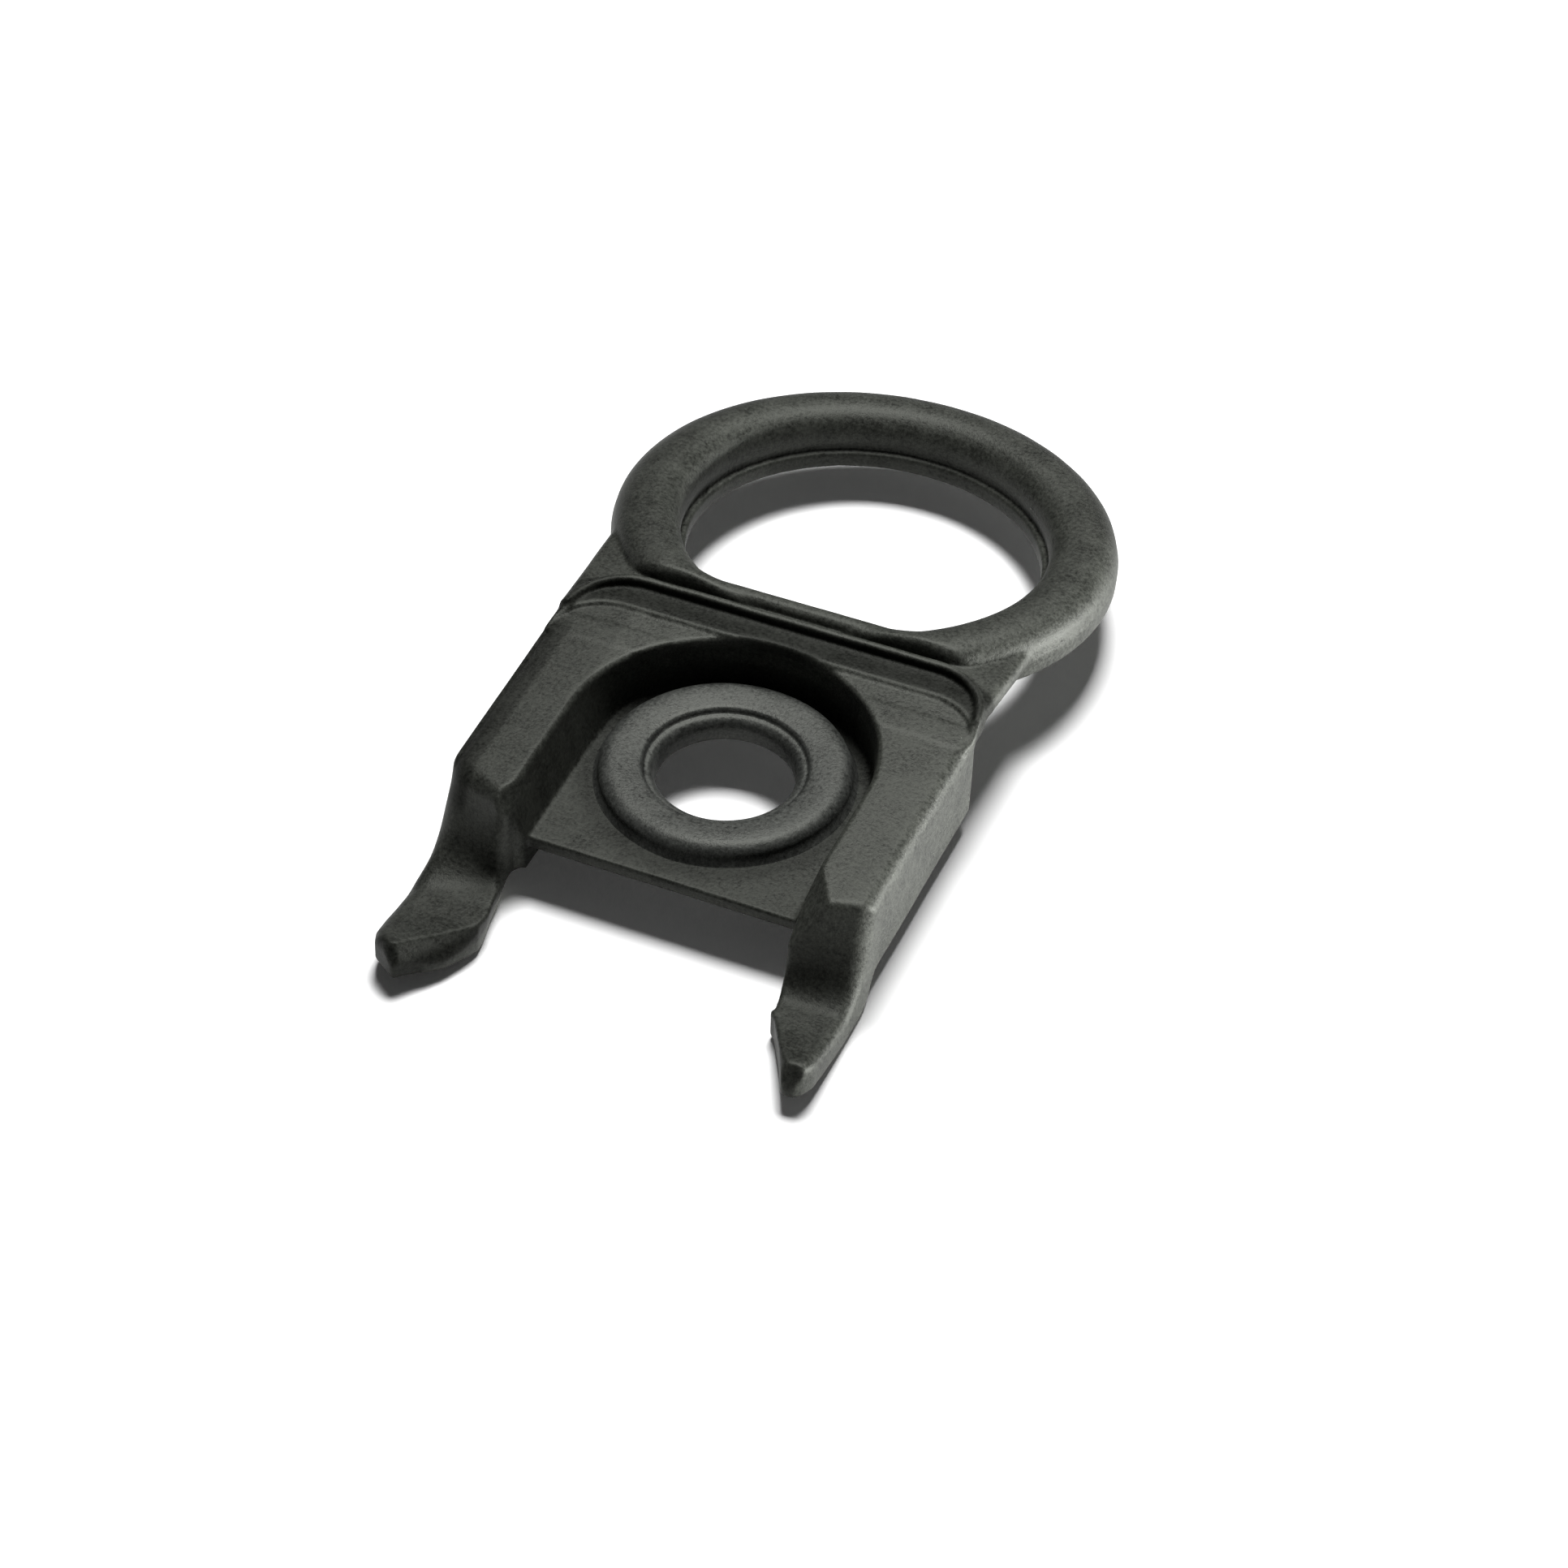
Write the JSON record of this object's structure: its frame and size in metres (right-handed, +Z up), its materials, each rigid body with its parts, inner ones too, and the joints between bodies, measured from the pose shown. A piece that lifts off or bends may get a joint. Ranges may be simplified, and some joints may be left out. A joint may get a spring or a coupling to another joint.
{
  "type": "fence insulator",
  "caption": "Flat screw-on clip with a D-shaped loop at one end, a raised screw boss in a U-shaped pocket, and a pair of barbed snap legs at the other end.",
  "frame": {"origin": "on the axis of the screw hole, level with the flat underside of the plate", "axes": "+X to the right across the plate, +Y towards the loop, +Z up, out of the face that the screw head sits on"},
  "size_m": [0.04, 0.0744, 0.0108],
  "materials": {
    "moulding": "matt, fine grain",
    "loop": "matt, fine grain, faint parting line",
    "boss": "matt, slightly polished shoulder",
    "legs": "matt, fine grain"
  },
  "bodies": {
    "plate": {"neck_web": "moulding", "groove_strip": "moulding", "rim_bead": "moulding", "head_ledge": "moulding", "pocket_wall": "moulding", "pocket_floor": "moulding", "screw_boss": "boss", "boss_lip": "boss", "left_rail_deck": "moulding", "right_rail_deck": "moulding", "left_side_block": "moulding", "right_side_block": "moulding"},
    "loop": {"loop_ring": "loop", "loop_bar": "loop"},
    "left_leg": {"left_leg_bend": "legs", "left_leg_shank": "legs", "left_leg_tip": "legs"},
    "right_leg": {"right_leg_bend": "legs", "right_leg_shank": "legs", "right_leg_tip": "legs"}
  },
  "joints": [
    {"name": "loop_fold", "type": "hinge", "parent": "plate", "child": "loop", "pos_m": [0, 0.0138, 0.0067], "axis": [1, 0, 0], "range_deg": [-10, 10], "stiffness_Nm_per_rad": 0.2},
    {"name": "left_leg_spring", "type": "hinge", "parent": "plate", "child": "left_leg", "pos_m": [-0.0145, -0.01225, 0.003], "axis": [0, 0, 1], "range_deg": [-5, 5], "stiffness_Nm_per_rad": 0.004},
    {"name": "right_leg_spring", "type": "hinge", "parent": "plate", "child": "right_leg", "pos_m": [0.0145, -0.01225, 0.003], "axis": [0, 0, 1], "range_deg": [-5, 5], "stiffness_Nm_per_rad": 0.004}
  ]
}
